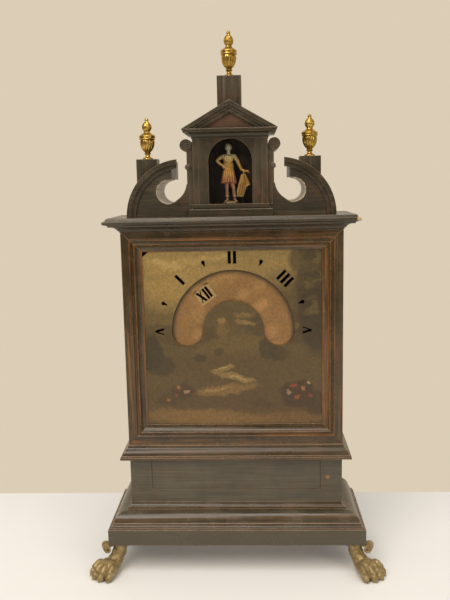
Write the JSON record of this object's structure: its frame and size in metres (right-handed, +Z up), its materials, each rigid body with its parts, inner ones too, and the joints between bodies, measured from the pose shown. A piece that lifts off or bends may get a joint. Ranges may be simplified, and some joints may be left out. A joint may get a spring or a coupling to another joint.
{
  "type": "night clock",
  "caption": "Ebonised table night clock on bronze paw feet, with a half-ring hour slot, hinged dial door, drawer, rear door and a niche with a statuette.",
  "frame": {"origin": "on the table, under the middle of the clock's bounding box", "axes": "+Z up, -Y is the dial's side, +X is the viewer's right"},
  "size_m": [0.408, 0.174, 0.735],
  "materials": {
    "ebonised_wood": "thin black stain under worn wax, satin",
    "inner_wood": "bare, matt",
    "niche_lining": "dark brown, matt",
    "gilt_bronze": "worn gilding, satin",
    "gilt_brass": "worn gilding, satin",
    "statuette_bronze": "dull worn gilding",
    "dial_paint": "oil paint on copper, satin",
    "disc_paint": "oil paint on copper, satin",
    "brass": "brushed",
    "steel": "brushed",
    "tin": "dull tinned sheet",
    "gut": "smooth",
    "cotton": "matt"
  },
  "bodies": {
    "clock_case": {"plinth_mouldings": "ebonised_wood", "base_board": "inner_wood", "paw_feet": "gilt_bronze", "rear_bun_feet": "ebonised_wood", "wood_screws": "steel", "frieze_front": "ebonised_wood", "frieze_boards": "inner_wood", "waist_mouldings": "ebonised_wood", "floor_board": "inner_wood", "case_sides": "ebonised_wood", "rear_frame_boards": "inner_wood", "top_boards": "ebonised_wood", "cornice_mouldings": "ebonised_wood", "rear_hinge_fixed_leaves": "brass", "scroll_blocks": "ebonised_wood", "arch_mouldings": "ebonised_wood", "neck_brackets": "ebonised_wood", "niche_sill": "ebonised_wood", "niche_boards": "ebonised_wood", "niche_lining": "niche_lining", "entablature": "ebonised_wood", "pediment_roof": "ebonised_wood", "tympanum": "ebonised_wood", "finial_blocks": "ebonised_wood", "finials": "gilt_brass", "statuette": "statuette_bronze", "seat_boards": "inner_wood", "movement_front_plate": "brass", "movement_back_plate": "brass", "plate_pillars": "brass", "barrel_arbor": "steel", "gut_line": "gut", "lamp_stirrup": "tin", "oil_lamp": "tin", "lamp_wick": "cotton", "chimney": "tin"},
    "front_door": {"door_frame_members": "ebonised_wood", "dial_plate": "dial_paint", "dial_sprigs": "brass", "door_pivot_pins": "steel"},
    "rear_door": {"rear_door_panel": "inner_wood", "rear_door_knob": "brass", "rear_hinge_moving_leaves": "brass"},
    "turn_button": {"turn_button": "brass"},
    "drawer": {"drawer_front": "ebonised_wood", "drawer_box": "inner_wood"},
    "spring_barrel": {"barrel": "brass", "mainspring": "steel"},
    "fusee": {"fusee": "brass", "great_wheel": "brass"},
    "centre_arbor": {"centre_wheel": "brass"},
    "third_arbor": {"third_wheel": "brass"},
    "escape_arbor": {"escape_wheel": "brass"},
    "pendulum": {"anchor": "steel", "pendulum": "brass"},
    "hour_disc": {"hour_disc": "disc_paint", "disc_wheel": "brass"},
    "even_hours": {"even_hour_disc": "disc_paint"},
    "odd_hours": {"odd_hour_disc": "disc_paint"}
  },
  "joints": [
    {"name": "front_door_hinge", "type": "hinge", "parent": "clock_case", "child": "front_door", "pos_m": [-0.1425, -0.0195, 0.325], "axis": [0, 0, -1], "range_deg": [0, 90]},
    {"name": "rear_door_hinge", "type": "hinge", "parent": "clock_case", "child": "rear_door", "pos_m": [0.11875, 0.0805, 0.325], "axis": [0, 0, -1], "range_deg": [0, 100]},
    {"name": "turn_button_turn", "type": "hinge", "parent": "clock_case", "child": "turn_button", "pos_m": [-0.1285, 0.079, 0.325], "axis": [0, 1, 0], "range_deg": [0, 90]},
    {"name": "drawer_slide", "type": "slide", "parent": "clock_case", "child": "drawer", "axis": [0, -1, 0], "range_m": [0, 0.07]},
    {"name": "centre_turn", "type": "hinge", "parent": "clock_case", "child": "centre_arbor", "pos_m": [0, 0.018, 0.2982], "axis": [0, 1, 0], "continuous": true},
    {"name": "fusee_turn", "type": "hinge", "parent": "clock_case", "child": "fusee", "pos_m": [0.024, 0.018, 0.26228], "axis": [0, 1, 0], "continuous": true},
    {"name": "barrel_turn", "type": "hinge", "parent": "clock_case", "child": "spring_barrel", "pos_m": [-0.038, 0.018, 0.26228], "axis": [0, 1, 0], "continuous": true},
    {"name": "third_turn", "type": "hinge", "parent": "clock_case", "child": "third_arbor", "pos_m": [-0.02326, 0.018, 0.28974], "axis": [0, 1, 0], "continuous": true},
    {"name": "escape_turn", "type": "hinge", "parent": "clock_case", "child": "escape_arbor", "pos_m": [-0.02943, 0.018, 0.30671], "axis": [0, 1, 0], "continuous": true},
    {"name": "pendulum_swing", "type": "hinge", "parent": "clock_case", "child": "pendulum", "pos_m": [-0.02943, 0.033, 0.32671], "axis": [0, 1, 0], "range_deg": [-4, 4]},
    {"name": "hour_disc_turn", "type": "hinge", "parent": "clock_case", "child": "hour_disc", "pos_m": [0, -0.017, 0.336], "axis": [0, 1, 0], "continuous": true},
    {"name": "even_hours_turn", "type": "hinge", "parent": "hour_disc", "child": "even_hours", "pos_m": [-0.02355, -0.016, 0.36771], "axis": [0, 1, 0], "continuous": true},
    {"name": "odd_hours_turn", "type": "hinge", "parent": "hour_disc", "child": "odd_hours", "pos_m": [0.02355, -0.016, 0.30429], "axis": [0, 1, 0], "continuous": true}
  ],
  "couplings": [
    {"joint": "fusee_turn", "follows": "centre_turn", "ratio": -0.14286},
    {"joint": "barrel_turn", "follows": "centre_turn", "ratio": -0.10714},
    {"joint": "third_turn", "follows": "centre_turn", "ratio": -14},
    {"joint": "escape_turn", "follows": "centre_turn", "ratio": 186.67},
    {"joint": "hour_disc_turn", "follows": "centre_turn", "ratio": -0.5}
  ]
}
